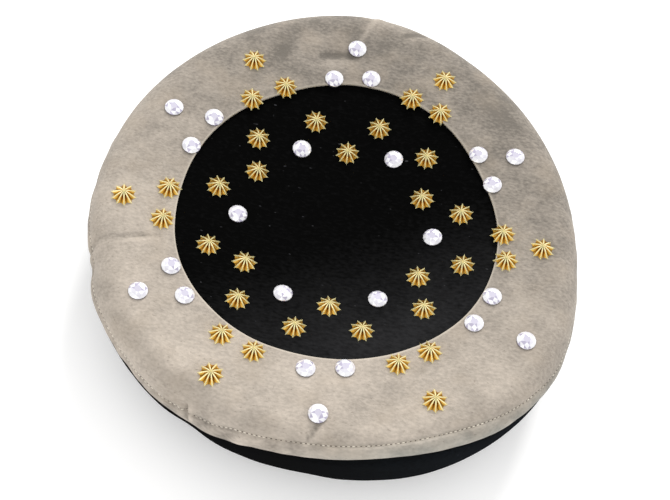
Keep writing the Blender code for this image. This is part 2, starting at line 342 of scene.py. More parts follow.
def skin(name, points, closed_middle=False, **kept):
    rows, columns = points.shape[:2]
    index = np.arange(rows * columns).reshape(rows, columns)
    after = np.roll(index, -1, axis=1)
    quads = np.stack([index[:-1], index[1:], after[1:], after[:-1]], axis=-1).reshape(-1, 4)
    faces = quads.tolist()
    if closed_middle:
        faces.append(index[0].tolist())
    mesh = bpy.data.meshes.new(name)
    mesh.from_pydata(points.reshape(-1, 3).tolist(), [], faces)
    mesh.shade_smooth()
    for number, values in kept.items():
        mesh.attributes.new(number, "FLOAT", "POINT").data.foreach_set("value", values.astype(np.float32).ravel())
    made = bpy.data.objects.new(name, mesh)
    bpy.context.scene.collection.objects.link(made)
    return made


def thicken(panel):
    thickness = panel.modifiers.new("suede", "SOLIDIFY")
    thickness.thickness = SUEDE
    thickness.offset = -1
    thickness.use_even_offset = True


def dress(piece, material, slot, *nodes):
    """Gives a piece its finish and its place in the model."""
    piece.data.materials.clear()
    piece.data.materials.append(material)
    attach(piece, "root")
    if nodes:
        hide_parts(*nodes)


print("points round the cap:", SEGMENTS)

# %% [markdown]
# ## Writing materials as sums
# A shader is easier to read as arithmetic than as a drawing. Wire wraps one socket, so that adding or multiplying two
# wires adds the Math node that does it. Finish holds a material and adds every other kind of node.

# %% Wires and finishes


class Wire:
    """A value that varies over a surface."""

    def __init__(self, finish, socket):
        self.finish = finish
        self.socket = socket

    def maths(self, operation, first, second):
        return self.finish.node("ShaderNodeMath", {"operation": operation}, first, second)

    def __add__(self, other):
        return self.maths("ADD", self, other)

    def __sub__(self, other):
        return self.maths("SUBTRACT", self, other)

    def __rsub__(self, other):
        return self.maths("SUBTRACT", other, self)

    def __mul__(self, other):
        return self.maths("MULTIPLY", self, other)

    __radd__ = __add__
    __rmul__ = __mul__

    def between(self, low, high):
        """0 below low, 1 above high, and smooth in between."""
        settings = {"interpolation_type": "SMOOTHSTEP"}
        return self.finish.node("ShaderNodeMapRange", settings, Value=self, **{"From Min": low, "From Max": high})


class Finish:
    """A material with one Principled shader, and the nodes that feed it."""

    def __init__(self, name, **constants):
        self.material = bpy.data.materials.new(name)
        self.material.use_nodes = True
        self.tree = self.material.node_tree
        self.shader = self.tree.nodes["Principled BSDF"]
        for socket, value in constants.items():
            self.shader.inputs[socket.replace("_", " ").title()].default_value = value

    def node(self, kind, settings=None, *values, **named):
        """Adds a node: its settings first, then its sockets by order or by name. Returns its first output."""
        made = self.tree.nodes.new(kind)
        for name, value in (settings or {}).items():
            setattr(made, name, value)
        sockets = [s for s in made.inputs if s.enabled]
        for socket, value in list(zip(sockets, values)) + [
            (next(s for s in sockets if s.name == name), value) for name, value in named.items()
        ]:
            if isinstance(value, Wire):
                self.tree.links.new(value.socket, socket)
            else:
                socket.default_value = value
        return Wire(self, next(s for s in made.outputs if s.enabled))

    def place(self):
        """The point's own place in the cap, in metres."""
        made = self.node("ShaderNodeTexCoord")
        return Wire(self, made.socket.node.outputs["Object"])

    def kept(self, name):
        """A number that the mesh keeps on its points."""
        made = self.node("ShaderNodeAttribute", {"attribute_name": name})
        return Wire(self, made.socket.node.outputs["Fac"])

    def along(self, direction, low, high):
        """0 to 1 across the cap, from low to high metres along a direction on the plan."""
        reach = self.node("ShaderNodeVectorMath", {"operation": "DOT_PRODUCT"}, self.place(), direction)
        return reach.between(low, high)

    def clouds(self, size, detail, stretch=(1, 1, 1)):
        """Noise from 0 to 1 with lumps about size across, in metres, and longer where stretch is below 1."""
        where = self.node("ShaderNodeVectorMath", {"operation": "MULTIPLY"}, self.place(), stretch)
        return self.node("ShaderNodeTexNoise", None, Vector=where, Scale=1 / size, Detail=detail)

    def mix(self, mask, low, high):
        """From colour low where the mask is 0 to colour high where it is 1."""
        settings = {"data_type": "RGBA", "clamp_factor": True}
        return self.node("ShaderNodeMix", settings, Factor=mask, A=low, B=high)

    def feed(self, socket, wire):
        self.tree.links.new(wire.socket, self.shader.inputs[socket])

    def bump(self, height, distance):
        """Relief too fine to model, with height from 0 to 1 standing for distance in metres."""
        self.feed("Normal", self.node("ShaderNodeBump", None, Strength=1.0, Distance=distance, Height=height))


def colour(red, green, blue):
    return (red, green, blue, 1.0)


print("ready to wire materials")

# %% [markdown]
# ## Beige suede
# Suede has a nap. Where the fibres lie towards the light it looks pale, and where a hand has brushed them the other
# way it looks darker and greyer, in soft patches a few centimetres across. The ring is painted paler at the near left
# than at the far right, partly for the nap of the whole hide and partly as painted light, the fall of the light across
# the cap. Over that come small blotches, a short grain and a few dark fibres. The folded hem is painted darker, as
# shade where it turns away from the light, and is more blotched, and cooler at the right. Creases are painted darker
# and their lips paler, as painted shade and light. A little sheen lights the nap at grazing angles, which gives the
# rim its soft look.

# %% The beige suede's finish
FUZZ_DEPTH = 0.0003
NAP_AND_LIGHT_DIRECTION = (-0.34, -0.94, 0.0)
GRADIENT_REACH = 0.12
COOL_DIRECTION = (0.87, -0.50, 0.0)
COOL_FROM = 0.05
SHADED_NAP = colour(0.152, 0.136, 0.117)
LIT_NAP = colour(0.525, 0.460, 0.392)
COOL_HEM = colour(0.395, 0.405, 0.365)
WARM_PATCH = colour(0.36, 0.30, 0.235)
DARK_FIBRE = colour(0.145, 0.122, 0.10)
RAW_AND_LIT_EDGE = colour(0.53, 0.475, 0.395)

# How much each thing moves the tone, which is 0 at the darkest, shaded colour and 1 at the palest, lit colour
PLAIN_TONE = 0.13
NAP_AND_LIGHT_WEIGHT = 0.57
PATCH_WEIGHT = 0.7
BLOTCH_WEIGHT = 0.42
HEM_BLOTCH_WEIGHT = 1.2
GRAIN_WEIGHT = 0.8
FOLD_SHADE_WEIGHT = 0.38
HEM_SHADE_WEIGHT = 0.15
HEM_COOLING = 0.42


def beige_suede():
    finish = Finish("beige_suede", roughness=0.95, sheen_weight=0.12, sheen_roughness=0.5)
    finish.shader.inputs["Sheen Tint"].default_value = colour(0.9, 0.88, 0.85)
    finish.shader.inputs["Specular IOR Level"].default_value = 0.12
    # Painted light: the ring grows paler towards the near left, partly for the nap and partly for the fall of the
    # light.
    falloff = finish.along(NAP_AND_LIGHT_DIRECTION, -GRADIENT_REACH, GRADIENT_REACH)
    patches = finish.clouds(0.031, 2.0)
    blotches = finish.clouds(0.0075, 4.0, stretch=(0.7, 1.0, 1.0))
    grain = finish.clouds(0.0014, 5.0, stretch=(0.6, 1.0, 1.0))
    # The hem is painted darker below, as painted shade where it turns away from the light.
    hem = finish.kept("hem")
    blotching = BLOTCH_WEIGHT + hem * HEM_BLOTCH_WEIGHT
    tone = PLAIN_TONE + falloff * NAP_AND_LIGHT_WEIGHT + (patches - 0.5) * PATCH_WEIGHT + (blotches - 0.5) * blotching
    # The fold number paints shade in creases and puckers and light on their lips.
    tone = tone + (grain - 0.5) * GRAIN_WEIGHT + finish.kept("fold") * FOLD_SHADE_WEIGHT - hem * HEM_SHADE_WEIGHT
    toned = finish.mix(tone, SHADED_NAP, LIT_NAP)
    cooler = hem * finish.along(COOL_DIRECTION, COOL_FROM, GRADIENT_REACH)
    cooled = finish.mix(cooler * HEM_COOLING, toned, COOL_HEM)
    warmth = finish.clouds(0.021, 2.0)
    tinted = finish.mix(warmth.between(0.45, 0.75) * 0.3, cooled, WARM_PATCH)
    fibres = finish.clouds(0.0011, 2.0, stretch=(0.5, 1.0, 1.0))
    flecked = finish.mix(fibres.between(0.66, 0.74) * 0.4, tinted, DARK_FIBRE)
    # The cut edge is painted paler, for its raw fibres and as a painted highlight where it catches the light.
    cut = finish.mix(finish.kept("edge") * 0.8, flecked, RAW_AND_LIT_EDGE)
    finish.feed("Base Color", cut)
    fuzz = finish.clouds(0.0007, 4.0)
    finish.bump(fuzz * 0.6 + grain * 0.8 + blotches * 0.6, FUZZ_DEPTH)
    return finish.material


# %% [markdown]
# ## Black suede
# The same leather dyed black. It takes nearly all the light, so only a little grey nap and lint tell its shape. On
# the centre panel the colour is painted paler towards the near side and the right, as painted light. The side panel
# is dyed a cooler black, and is a little paler towards the right.

# %% The black suedes' finishes
GREY_LINT = colour(0.10, 0.10, 0.11)


def black_suede(name, deep, paler, direction, low, high):
    finish = Finish(name, roughness=1.0, sheen_weight=0.004, sheen_roughness=0.5)
    finish.shader.inputs["Specular IOR Level"].default_value = 0.0
    falloff = finish.along(direction, low, high)
    patches = finish.clouds(0.03, 3.0)
    grain = finish.clouds(0.0015, 4.0, stretch=(0.5, 1.0, 1.0))
    tone = falloff * (1.0 + (patches - 0.5) * 1.2) + (grain - 0.5) * (0.4 + falloff * 1.3)
    toned = finish.mix(tone, deep, paler)
    lint = finish.clouds(0.0019, 1.0, stretch=(0.5, 1.0, 1.0))
    finish.feed("Base Color", finish.mix(lint.between(0.76, 0.82) * 0.35, toned, GREY_LINT))
    fuzz = finish.clouds(0.0007, 4.0)
    finish.bump(fuzz * 0.6 + grain * 0.9, FUZZ_DEPTH)
    return finish.material


BEIGE = beige_suede()
# The centre panel's paler colour towards the near side and the right is painted light.
BLACK = black_suede(
    "black_suede",
    deep=colour(0.0020, 0.0020, 0.0020),
    paler=colour(0.019, 0.019, 0.020),
    direction=(0.5, -0.87, 0.0),
    low=0.0,
    high=0.12,
)
SIDE_BLACK = black_suede(
    "side_suede",
    deep=colour(0.0040, 0.0040, 0.0042),
    paler=colour(0.0075, 0.0090, 0.0108),
    direction=(1.0, 0.0, 0.0),
    low=-0.02,
    high=0.12,
)
print("suedes:", BEIGE.name, BLACK.name, SIDE_BLACK.name)

# %% [markdown]
# ## The black centre panel
# The middle of the crown is a dished disc. It lies under the ring, so it is lowered by one thickness and a small gap,
# and its edge runs on a little way out of sight.

# %% The centre panel
PANEL_ROWS = 70
FIRST_ROW_SHARE = 0.012


def centre_panel():
    def on_disc(azimuth, share):
        return dish_point(azimuth, (cut_reach(azimuth) + PANEL_LAP) * share)

    points = rows_of(on_disc, np.linspace(FIRST_ROW_SHARE, 1, PANEL_ROWS))
    points[..., 2] += give(points) - SUEDE - GAP
    panel = skin("centre_suede", points, closed_middle=True)
    thicken(panel)
    dress(panel, BLACK, "black_suede", "centre_panel")
    return panel


print("centre panel:", len(centre_panel().data.polygons), "faces")

# %% [markdown]
# ## The beige ring
# The ring climbs to the crest and rolls over the rim to a topstitched hem. What makes it real is in its relief,
# which is added along the normal: creases where it was folded in a box, one broad soft dent at the left, a groove
# under the stitches, the hem's two layers puffed up below it, and the small puckers that the thread pulls.

# %% Creases, hem and puckers
STITCH_UP = 0.0087
GROOVE_DEPTH = 0.0005
GROOVE_HALF_WIDTH = 0.0009
HEM_PUFF = 0.0008
PUFF_FULLNESS = 0.7
HEM_TURN = 0.0005
HEM_TURN_REACH = 0.0012
PUCKER_HEIGHT = 0.0005
PUCKER_SIZE = 0.0095
PUCKER_SQUEEZE = 0.35
PUCKER_MIDDLE = 0.55
PUCKER_REACH = 0.65
PULL_AZIMUTH = 247
PULL_SPREAD = 22
PULL_GAIN = 1.6
PULLED_DEPTH = 0.0004
PULLED_HALF_WIDTH = 0.0016
LIP_WIDTH = 0.0012
LIP_HEIGHT = 0.00025
FOLD_FOR_FULL_SHADE = 0.0007

# A crease's lip lies beside its valley and is softer and lower. Its place, its half width and how far the crease runs
# on past its ends are counted in half widths of the crease, and its height in depths.
CREASE_LIP_AWAY = 2.2
CREASE_LIP_HALF_WIDTH = 1.6
CREASE_LIP_HEIGHT = 0.35
CREASE_RUN_OUT = 1.5

# A crease runs straight between two places on the ring, each given by its azimuth and its distance up from the seam.
# A crease of negative depth is a ridge. Shade is how much of it is painted into the tone, as painted shade in its
# valley and painted light on its lip, which is nothing for a broad dent.
Crease = namedtuple("Crease", "from_azimuth from_up to_azimuth to_up depth half_width shade")
CREASES = (
    Crease(198, 0.018, 200, 0.052, 0.0004, 0.0018, 1),
    Crease(199, 0.033, 199.6, 0.044, 0.0005, 0.0014, 1),
    Crease(199.4, 0.003, 198.8, 0.013, 0.0008, 0.0018, 0.6),
    Crease(203.5, 0.002, 203, 0.018, 0.0016, 0.0085, 0),
    Crease(104, 0.0515, 95.5, 0.0520, 0.0007, 0.0022, 1),
    Crease(87.5, 0.010, 92.5, 0.0395, -0.0005, 0.0020, 1),
    Crease(81, 0.030, 77.5, 0.023, 0.0007, 0.0016, 1),
    Crease(110.5, 0.033, 117, 0.044, 0.0004, 0.0050, 0.6),
    Crease(117, 0.044, 129, 0.054, 0.0004, 0.0050, 0.6),
    Crease(245.0, 0.0035, 244.4, 0.0135, 0.0019, 0.0012, 1),
    Crease(272.5, 0.012, 274, 0.019, 0.0008, 0.0014, 1),
)


# Where the hem hangs below the sewn seam or is drawn up above it: the middle's azimuth, its spread and its degrees
# round the rim
Drop = namedtuple("Drop", "azimuth spread degrees")
DROPS = (
    Drop(252, 16, 7.0),
    Drop(288, 8, -3.5),
    Drop(313, 11, 6.0),
)


def hem_end(azimuth):
    """Where the hem ends, in degrees above the rim's widest line."""
    below = sum(drop.degrees * np.exp(-(((azimuth - drop.azimuth) / drop.spread) ** 2)) for drop in DROPS)
    return around("seam", azimuth) - below


def stitch_height(azimuth):
    """How far the stitches are from the hem's end."""
    seam, end = around("seam", azimuth), hem_end(azimuth)
    below = np.linalg.norm(rim_point(azimuth, seam) - rim_point(azimuth, end), axis=-1)
    return STITCH_UP + np.sign(seam - end) * below


def crease_relief(azimuths, up):
    """The height of the creases, and the part of it that is painted into the tone as shade and light."""
    height = shaded = 0
    for crease in CREASES:
        round_arc = np.radians(np.mod(azimuths - crease.from_azimuth + 180, 360) - 180) * RIM_RADIUS
        run = math.radians(crease.to_azimuth - crease.from_azimuth) * RIM_RADIUS
        rise = crease.to_up - crease.from_up
        length = math.hypot(run, rise)
        along = (round_arc * run + (up - crease.from_up) * rise) / length
        across = (round_arc * rise - (up - crease.from_up) * run) / length
        past = np.maximum(np.maximum(-along, along - length), 0)
        fade = np.exp(-((past / crease.half_width / CREASE_RUN_OUT) ** 2))
        valley = np.exp(-((across / crease.half_width) ** 2))
        lip_away = CREASE_LIP_AWAY * crease.half_width
        lip_half_width = CREASE_LIP_HALF_WIDTH * crease.half_width
        lip = np.exp(-(((across - lip_away) / lip_half_width) ** 2))
        folded = crease.depth * fade * (CREASE_LIP_HEIGHT * lip - valley)
        height = height + folded
        shaded = shaded + crease.shade * folded
    return height, shaded


def hem_relief(azimuths, up):
    stitched = stitch_height(azimuths)
    groove = -GROOVE_DEPTH * np.exp(-(((up - stitched) / GROOVE_HALF_WIDTH) ** 2))
    puff = HEM_PUFF * np.sin(np.pi * np.clip(up / stitched, 0, 1)) ** PUFF_FULLNESS
    return groove + puff - HEM_TURN * np.exp(-up / HEM_TURN_REACH)


def puckers(points, azimuths, up):
    """The gathered hem, and the deeper groove where the thread pulls hardest."""
    stitched = stitch_height(azimuths)
    pull = np.exp(-(((azimuths - PULL_AZIMUTH) / PULL_SPREAD) ** 2))
    reach = np.exp(-(((up - stitched * PUCKER_MIDDLE) / (stitched * PUCKER_REACH)) ** 2))
    squeezed = points * np.array((1.0, 1.0, PUCKER_SQUEEZE))
    gathers = PUCKER_HEIGHT * (1 + PULL_GAIN * pull) * reach * clouds(squeezed, PUCKER_SIZE, seed=4.4)
    return gathers - PULLED_DEPTH * pull * np.exp(-(((up - stitched) / PULLED_HALF_WIDTH) ** 2))


print("creases:", len(CREASES))

# %% The ring
DISH_ROWS = 36
ROLL_ROWS = 52
HEM_TONE_END = 1.3


def ring_grid():
    """The ring's upper surface, how far each point is from the hem's end, and the shade and light painted for its
    folds.
    """

    def on_dish(azimuth, share):
        return dish_point(azimuth, cut_reach(azimuth) + (crest_reach(azimuth) - cut_reach(azimuth)) * share)

    def on_roll(azimuth, share):
        return rim_point(azimuth, 90 + (hem_end(azimuth) - 90) * share)

    points = np.vstack(
        [rows_of(on_dish, np.linspace(0, 1, DISH_ROWS)), rows_of(on_roll, np.linspace(0, 1, ROLL_ROWS)[1:])]
    )
    up = along_rows(points)
    from_inside = up.max(axis=0) - up
    lip = LIP_HEIGHT * np.exp(-((from_inside / LIP_WIDTH) ** 2))
    over_plan = give(points) * np.clip(normals_of(points)[..., 2], 0, 1)
    above_seam = up - stitch_height(AZIMUTHS) + STITCH_UP
    creased, shaded = crease_relief(AZIMUTHS, above_seam)
    puckered = puckers(points, AZIMUTHS, up)
    height = over_plan + lip + creased + puckered + hem_relief(AZIMUTHS, up)
    # The last number paints shade in the creases and in the hollows of the puckers, and light on their lips and puffs.
    return raised(points, height), up, np.clip((shaded + puckered) / FOLD_FOR_FULL_SHADE, -1, 1)


ring_points, ring_up, ring_fold_shade = ring_grid()
# The inner cut edge, painted paler for its raw fibres and as a painted highlight where it catches the light.
cut_and_lit_edge = np.exp(-(((ring_up.max(axis=0) - ring_up) / (LIP_WIDTH / 2)) ** 2))
ring_hem = np.clip(HEM_TONE_END - ring_up / stitch_height(AZIMUTHS), 0, 1)
ring = skin("ring_suede", ring_points, edge=cut_and_lit_edge, fold=ring_fold_shade, hem=ring_hem)
thicken(ring)
dress(ring, BEIGE, "beige_suede", "crown_ring")
print("ring:", len(ring.data.polygons), "faces")

# %% [markdown]
# ## The black side
# The side panel starts behind the ring's hem, where it is sewn, comes out to the full reach just below it, goes
# round the belly, and turns in under the cap to the flat hem of the head opening. It shows as a dark crescent from
# the front. It swells a little too, except where the seam and the hem hold it.

# %% The side panel
TUCK_ROWS = 6
BELLY_ROWS = 44
UNDER_ROWS = 14
HEM_ROWS = 6
SIDE_SWELL_HEIGHT = 0.0004
SIDE_SWELL_SIZE = 0.035
SIDE_RUMPLE_HEIGHT = 0.00015
SIDE_RUMPLE_SIZE = 0.011
HELD_BY_HEM = 0.010
ROWS_HELD_BY_SEAM = 6


def side_grid():
    def on_side(azimuth, degrees):
        below_seam = around("seam", azimuth) - SEAM_EDGE_DEGREES - degrees
        share = np.clip(below_seam / SEAM_EASE_DEGREES, 0, 1)
        inset = (SUEDE + GAP) * (1 - share**2 * (3 - 2 * share))
        return rim_point(azimuth, degrees, inset)

    def on_tuck(azimuth, share):
        return on_side(azimuth, around("seam", azimuth) + TUCK_DEGREES * share)

    def on_belly(azimuth, share):
        seam = around("seam", azimuth)
        return on_side(azimuth, seam + (BELLY_END_DEGREES - seam) * share)

    def on_underside(azimuth, share):
        return on_belly(azimuth, 1.0) * (1 - share) + polar(azimuth, OPENING_RADIUS + HEM_WIDTH, 0.0) * share

    def on_hem(azimuth, share):
        return polar(azimuth, OPENING_RADIUS + HEM_WIDTH * (1 - share), 0.0)

    return np.vstack(
        [
            rows_of(on_tuck, np.linspace(1, 0, TUCK_ROWS)),
            rows_of(on_belly, np.linspace(0, 1, BELLY_ROWS)[1:]),
            rows_of(on_underside, np.linspace(0, 1, UNDER_ROWS)[1:]),
            rows_of(on_hem, np.linspace(0, 1, HEM_ROWS)[1:]),
        ]
    )


def side_panel():
    points = side_grid()
    above_hem = np.clip(points[..., 2] / HELD_BY_HEM, 0, 1)
    below_seam = np.clip((np.arange(len(points)) - TUCK_ROWS) / ROWS_HELD_BY_SEAM, 0, 1)[:, None]
    swell = SIDE_SWELL_HEIGHT * clouds(points, SIDE_SWELL_SIZE, seed=9.1)
    rumple = SIDE_RUMPLE_HEIGHT * clouds(points, SIDE_RUMPLE_SIZE, seed=5.2)
    height = (swell + rumple) * above_hem * below_seam
    panel = skin("side_suede", raised(points, height))
    thicken(panel)
    dress(panel, SIDE_BLACK, "black_suede", "side_panel")
    return panel


print("side panel:", len(side_panel().data.polygons), "faces")

# %% [markdown]
# ## The topstitching
# A running row of cream thread holds the turned hem. Each stitch is a short bead of thread that dives into the
# suede at both ends, and between two stitches is a needle hole, shown as a flat dark bead of painted shade. The
# thread is painted darker in the hollows of its twist, as painted shade. Their places come from the ring's own grid:
# along each azimuth the point at the stitch's height is read off, and the stitches are set at equal steps along the
# loop that those points make.

# %% Stitches
STITCH_PITCH = 0.0026
STITCH_LENGTH = 0.0016
THREAD_RADIUS = 0.00029
THREAD_LIFT = 0.35 * THREAD_RADIUS
NEEDLE_HOLE = 0.00035
NEEDLE_HOLE_DEPTH = NEEDLE_HOLE / 3
STITCH_AHEAD = 0.0008
TWIST_DEPTH = 0.0001
TWIST_SHADE = colour(0.62, 0.56, 0.45)
CREAM = colour(0.92, 0.88, 0.77)
SOILED_CREAM = colour(0.40, 0.35, 0.28)


def stitch_loop():
    """Points and normals round the cap at the stitches' height."""
    normals = normals_of(ring_points)
    stitched = stitch_height(AZIMUTHS)
    loop = []
    for k in range(SEGMENTS):
        up = ring_up[::-1, k]
        values = np.hstack([ring_points[::-1, k], normals[::-1, k]])
        loop.append([np.interp(stitched[k], up, column) for column in values.T])
    return np.array(loop)


def thread_finish():
    finish = Finish("cream_thread", roughness=0.7)
    twist = finish.clouds(0.0006, 2.0)
    soiled = finish.clouds(0.007, 2.0)
    # The thread is painted darker in the hollows of its twist, with the same noise as its bump: painted shade.
    twisted = finish.mix(twist, TWIST_SHADE, CREAM)
    finish.feed("Base Color", finish.mix(soiled.between(0.4, 0.65) * 0.8, twisted, SOILED_CREAM))
    finish.bump(twist, TWIST_DEPTH)
    return finish.material


def hole_shade_finish():
    finish = Finish("needle_hole_shade", roughness=1.0)
    depth = finish.clouds(0.002, 1.0)
    # The needle hole's dark colour is painted shade, where the hole would be in shadow.
    finish.feed("Base Color", finish.mix(depth, colour(0.05, 0.038, 0.028), colour(0.10, 0.08, 0.06)))
    return finish.material


def beads(name, places, half_sizes, lift, material, slot):
    """Small rounded beads set along a loop, each turned to run with it."""
    bead = bmesh.new()
    bmesh.ops.create_uvsphere(bead, u_segments=8, v_segments=6, radius=1)
    shape = bpy.data.meshes.new("bead")
    bead.to_mesh(shape)
    bead.free()
    joined = bmesh.new()
    for at, ahead in places:
        forward = Vector(ahead[:3] - at[:3]).normalized()
        up = Vector(at[3:]).normalized()
        sideways = up.cross(forward).normalized()
        turn = Matrix((forward, sideways, up)).transposed().to_4x4()
        lifted = Matrix.Translation(Vector(at[:3]) + up * lift)
        placed = len(joined.verts)
        joined.from_mesh(shape)
        joined.verts.ensure_lookup_table()
        seat_of_bead = lifted @ turn @ Matrix.Diagonal((*half_sizes, 1))
        bmesh.ops.transform(joined, matrix=seat_of_bead, verts=joined.verts[placed:])
    mesh = bpy.data.meshes.new(name)
    joined.to_mesh(mesh)
    joined.free()
    mesh.shade_smooth()
    made = bpy.data.objects.new(name, mesh)
    bpy.context.scene.collection.objects.link(made)
    dress(made, material, slot)


def topstitching():
    loop = stitch_loop()
    closed = np.vstack([loop, loop[:1]])
    run = np.concatenate([[0], np.cumsum(np.linalg.norm(np.diff(closed[:, :3], axis=0), axis=1))])
    count = int(run[-1] / STITCH_PITCH)
    step = run[-1] / count

    def at(place):
        return np.array([np.interp(place % run[-1], run, column) for column in closed.T])

    def places(first):
        starts = [(k + first) * step for k in range(count)]
        return [(at(start), at(start + STITCH_AHEAD)) for start in starts]

    stitches, holes = places(0), places(0.5)
    stitch_sizes = (STITCH_LENGTH / 2, THREAD_RADIUS, THREAD_RADIUS)
    hole_sizes = (NEEDLE_HOLE, NEEDLE_HOLE, NEEDLE_HOLE_DEPTH)
    beads("topstitching", stitches, stitch_sizes, THREAD_LIFT, thread_finish(), "thread")
    beads("needle_hole_shades", holes, hole_sizes, 0.0, hole_shade_finish(), "thread")
    return count


print("stitches:", topstitching())

# %% [markdown]
# ## The star studs
# Each stud is pressed from thin brass and gilded: ten sharp ridges run from the point down to ten tips, with deep
# troughs between. The ridges are narrow ribs of one width from the point to the tips, like wires. A short table tells
# how the metal folds from the middle of a trough to the next rib. Every ray uses it twice, once forwards and once
# mirrored. Its last column is kept on the points, so that the gilding can be bright on the ribs and brown in the
# troughs, where it was never polished, and this is also painted light: a painted highlight on the ribs and painted
# shade in the troughs. The ribs are only partly metallic and painted a pale cream, a painted highlight, because a
# full mirror on their far sides would show nothing but the dark suede.

# %% One stud, used thirty-six times
TROUGH_TARNISH_AND_SHADE = colour(0.27, 0.130, 0.014)
FLANK_GOLD = colour(0.92, 0.570, 0.112)
RIB_HIGHLIGHT_GOLD = colour(1.0, 0.92, 0.50)
WORN_GOLD = colour(0.62, 0.38, 0.12)
STUD_RAYS = 10
STUD_RADIUS = 0.0074
STUD_HEIGHT = 0.0048
STUD_SINK = 0.0006
STUD_SHARES = (1.0, 0.92, 0.82, 0.7, 0.57, 0.44, 0.31, 0.2, 0.1)
RIB_HALF_WIDTH = 0.00038
RIB_RISE = 0.0004
RIB_MOST = 0.6
RIB_FALL = 1.35
TROUGH_FALL = 0.62
SHARP_FOLD = math.radians(28)

# The folds from the middle of a trough to the next rib. Away is how far a fold is from the rib's side on the way to
# the trough, edge is how far out it ends as a share of STUD_RADIUS, rise is its height between the trough's and the
# rib's, and the last column, kept for the gilding, is its polish and its painted highlight, which is low where the
# trough is painted in shade. The last row is the rib's crest.
Fold = namedtuple("Fold", "away edge rise polish")
FOLDS = (
    Fold(1.00, 0.75, 0.00, 0.00),
    Fold(0.55, 0.78, 0.33, 0.16),
    Fold(0.14, 0.85, 0.66, 0.34),
    Fold(0.00, 0.90, 0.88, 0.90),
    Fold(None, 1.00, 1.00, 1.00),
)


def folds_at(share):
    """For one ray at a share of the radius: each fold, with its turn from the rib in degrees."""
    half = 180 / STUD_RAYS
    rib = min(math.degrees(RIB_HALF_WIDTH / (share * STUD_RADIUS)), RIB_MOST * half)
    turns = [0 if fold.away is None else rib + (half - rib) * fold.away for fold in FOLDS]
    left = [(-turn, fold) for turn, fold in zip(turns, FOLDS)]
    return left + [(turn, fold) for turn, fold in zip(turns, FOLDS)][-2:0:-1]


def stud_ring(share, height=None):
    on_rib = STUD_HEIGHT * (1 - share**RIB_FALL)
    in_trough = (STUD_HEIGHT - RIB_RISE) * (1 - share**TROUGH_FALL)
    ring = []
    for k in range(STUD_RAYS):
        for turn, fold in folds_at(share):
            reach = STUD_RADIUS * fold.edge * share
            up = in_trough + (on_rib - in_trough) * fold.rise if height is None else height
            ring.append(polar(360 * k / STUD_RAYS + turn, reach, up))
    return np.array(ring)


def stud_mesh():
    rings = [stud_ring(1.0, -STUD_SINK)] + [stud_ring(share) for share in STUD_SHARES]
    points = np.stack(rings)
    polish_and_highlights = [fold.polish for turn, fold in folds_at(1.0)] * STUD_RAYS * len(rings)
    count = points.shape[1]
    index = np.arange(points.shape[0] * count).reshape(-1, count)
    after = np.roll(index, -1, axis=1)
    faces = np.stack([index[:-1], after[:-1], after[1:], index[1:]], axis=-1).reshape(-1, 4).tolist()
    faces += [[int(a), int(b), index.size] for a, b in zip(index[-1], after[-1])]
    faces.append(index[0][::-1].tolist())
    mesh = bpy.data.meshes.new("star_stud")
    mesh.from_pydata(points.reshape(-1, 3).tolist() + [(0, 0, STUD_HEIGHT)], [], faces)
    kept = np.append(polish_and_highlights, 1.0).astype(np.float32)
    mesh.attributes.new("polish", "FLOAT", "POINT").data.foreach_set("value", kept)
    mesh.shade_smooth()
    mesh.set_sharp_from_angle(angle=SHARP_FOLD)
    return mesh


def gilding():
    finish = Finish("gilding", metallic=1.0)
    polish = finish.kept("polish")
    wear = finish.clouds(0.004, 3.0)
    # Painted highlight and shade: pale cream on the ribs and brown in the troughs, partly polish and tarnish.
    flank = finish.mix(polish.between(0.0, 0.4), TROUGH_TARNISH_AND_SHADE, FLANK_GOLD)
    gold = finish.mix(polish.between(0.45, 0.85), flank, RIB_HIGHLIGHT_GOLD)
    finish.feed("Base Color", finish.mix(wear.between(0.55, 0.85) * 0.2, gold, WORN_GOLD))
    finish.feed("Metallic", 1.0 - polish.between(0.3, 0.9) * 0.65)
    finish.feed("Roughness", 0.46 - polish * 0.2 + (wear - 0.5) * 0.1)
    return finish.material


stud = stud_mesh()
stud.materials.append(gilding())
for name, place in stud_frames.items():
    made = bpy.data.objects.new(name.replace("star", "stud"), stud)
    bpy.context.scene.collection.objects.link(made)
    x, y = place.translation.x, place.translation.y
    sink = Vector((0, 0, float(give(np.array([x, y]))) - GAP))
    made.matrix_world = Matrix.Translation(sink) @ place
    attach(made, "root")
    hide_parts(name)
print("studs:", len(stud_frames), "of", len(stud.polygons), "faces")

# %% [markdown]
# ## The round stones
# A flat-backed stone has a table, a ring of star facets, and larger facets down to a thin girdle. Its corners lie on
# three circles, and the convex hull of those corners gives every facet, flat and closed. Foil behind the glass sends
# the light back, more or less lilac from facet to facet, so the finish is a pale, glossy, slightly metallic one and
# each facet keeps how lilac it is: a painted reflection, partly for the stone's coating, lilac-grey on the table and
# chosen at random on the other facets. The girdle is in the shade of its setting, which is painted dark.

# %% One stone
STONE_RADIUS = 0.0054
STONE_GIRDLE = 0.0008
STONE_CROWN = 0.0021
STONE_SEAT = 0.0004
GIRDLE_BEVEL = 0.8
LEVEL_FACET = 0.98
STEEP_FACET = 0.3
TABLE_LILAC_REFLECTION = 0.6
FACET_LILAC_REFLECTIONS = (0.0, 0.0, 0.1, 0.3, 0.8)
REFLECTION_SEED = 5
ONE_FACET = math.radians(1)
Circle = namedtuple("Circle", "corners reach height turn")
STONE_CIRCLES = (
    Circle(8, 0.38, 1.00, 0.0),
    Circle(8, 0.72, 0.68, 0.5),
    Circle(16, 0.97, 0.06, 0.25),
)


